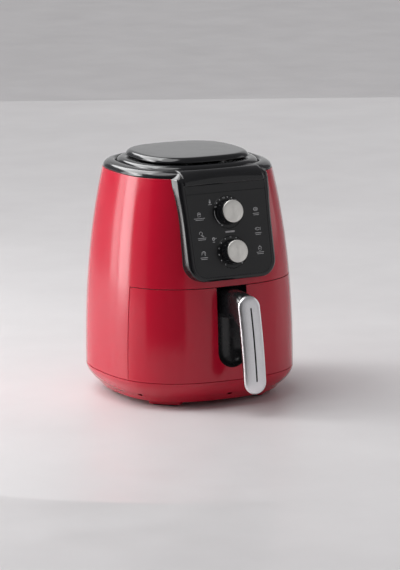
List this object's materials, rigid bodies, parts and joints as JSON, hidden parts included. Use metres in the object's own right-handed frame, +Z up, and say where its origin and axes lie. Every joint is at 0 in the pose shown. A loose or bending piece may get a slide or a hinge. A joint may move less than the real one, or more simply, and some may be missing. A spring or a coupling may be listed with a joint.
{
  "type": "hot-air fryer",
  "caption": "Countertop hot-air fryer: rounded-square body, pull-out pan drawer with a crisper plate, tilted panel with two rotary knobs, air inlet on top.",
  "frame": {"origin": "on the surface it stands on, under the centre of its outline, handle and cord bushing included", "axes": "+Z up, front and handle towards -Y, +X to the right when seen from the front"},
  "size_m": [0.268, 0.3396, 0.335],
  "materials": {
    "red_plastic": "deep crimson high-gloss moulded ABS",
    "gloss_black_plastic": "piano-black moulded plastic",
    "matt_black_plastic": "fine-textured black plastic",
    "charcoal_fascia": "matt charcoal panel face with printed white marks",
    "dial_black": "smooth dark dial with printed white marks",
    "satin_silver": "satin silver lacquer on a moulded cover",
    "brushed_cap": "brushed aluminium disc",
    "rubber_pad": "matt black rubber",
    "silicone": "soft dark silicone",
    "sheet_steel": "folded sheet steel",
    "turned_steel": "turned or plated steel",
    "heater_sheath": "dull grey-brown heater sheath",
    "motor_iron": "laminated motor iron",
    "pan_coating": "dark non-stick coating",
    "copper_capillary": "copper capillary",
    "terminal_cream": "cream terminal block",
    "cable_sheath": "insulated leads"
  },
  "bodies": {
    "housing": {"outer_housing": "red_plastic", "base_tray": "red_plastic", "base_deck": "matt_black_plastic", "feet": "red_plastic", "foot_pads": "rubber_pad", "bay_frame": "matt_black_plastic", "top_bezel": "gloss_black_plastic", "air_inlet": "matt_black_plastic", "top_cover": "gloss_black_plastic", "panel_frame": "gloss_black_plastic", "panel_fascia": "charcoal_fascia", "dial_plates": "dial_black", "blank_badge": "brushed_cap", "thermostat_body": "matt_black_plastic", "thermostat_bulb": "copper_capillary", "timer_body": "matt_black_plastic", "timer_bell": "sheet_steel", "chamber_liner": "sheet_steel", "drawer_rails": "sheet_steel", "heating_element": "heater_sheath", "element_guard": "sheet_steel", "heat_shield": "sheet_steel", "motor_bracket": "sheet_steel", "bracket_screws": "turned_steel", "motor_stator": "motor_iron", "exhaust_duct": "matt_black_plastic", "rear_outlet": "matt_black_plastic", "cord_plate": "matt_black_plastic", "cord_gland": "matt_black_plastic", "terminal_block": "terminal_cream", "thermal_fuse": "turned_steel", "drawer_switch": "matt_black_plastic", "base_screws": "turned_steel", "wiring_harness": "cable_sheath"},
    "fan": {"motor_rotor": "turned_steel", "convection_fan": "sheet_steel", "cooling_fan": "matt_black_plastic", "fan_nut": "turned_steel"},
    "temperature_control": {"temperature_knob": "matt_black_plastic", "temperature_cap": "brushed_cap", "thermostat_shaft": "turned_steel"},
    "timer_control": {"timer_knob": "matt_black_plastic", "timer_cap": "brushed_cap", "timer_shaft": "turned_steel"},
    "drawer": {"drawer_front": "red_plastic", "pocket_insert": "matt_black_plastic", "drawer_inner_panel": "matt_black_plastic", "pan": "pan_coating", "pan_bracket": "sheet_steel", "handle_arm": "gloss_black_plastic", "handle_grip": "matt_black_plastic", "handle_face": "satin_silver", "handle_slot_trim": "gloss_black_plastic", "handle_screws": "turned_steel"},
    "crisper": {"crisper_plate": "pan_coating", "plate_bumpers": "silicone"}
  },
  "joints": [
    {"name": "drawer_slide", "type": "slide", "parent": "housing", "child": "drawer", "axis": [0, -1, 0], "range_m": [0, 0.25]},
    {"name": "crisper_lift", "type": "slide", "parent": "drawer", "child": "crisper", "axis": [0, 0, 1], "range_m": [0, 0.1]},
    {"name": "temperature_turn", "type": "hinge", "parent": "housing", "child": "temperature_control", "pos_m": [0, -0.08732, 0.26563], "axis": [0, 0.9732, -0.23], "range_deg": [0, 270]},
    {"name": "timer_turn", "type": "hinge", "parent": "housing", "child": "timer_control", "pos_m": [0, -0.09969, 0.21327], "axis": [0, 0.9732, -0.23], "range_deg": [0, 300]},
    {"name": "fan_spin", "type": "hinge", "parent": "housing", "child": "fan", "pos_m": [0, 0.03712, 0.23], "axis": [0, 0, 1], "continuous": true}
  ]
}
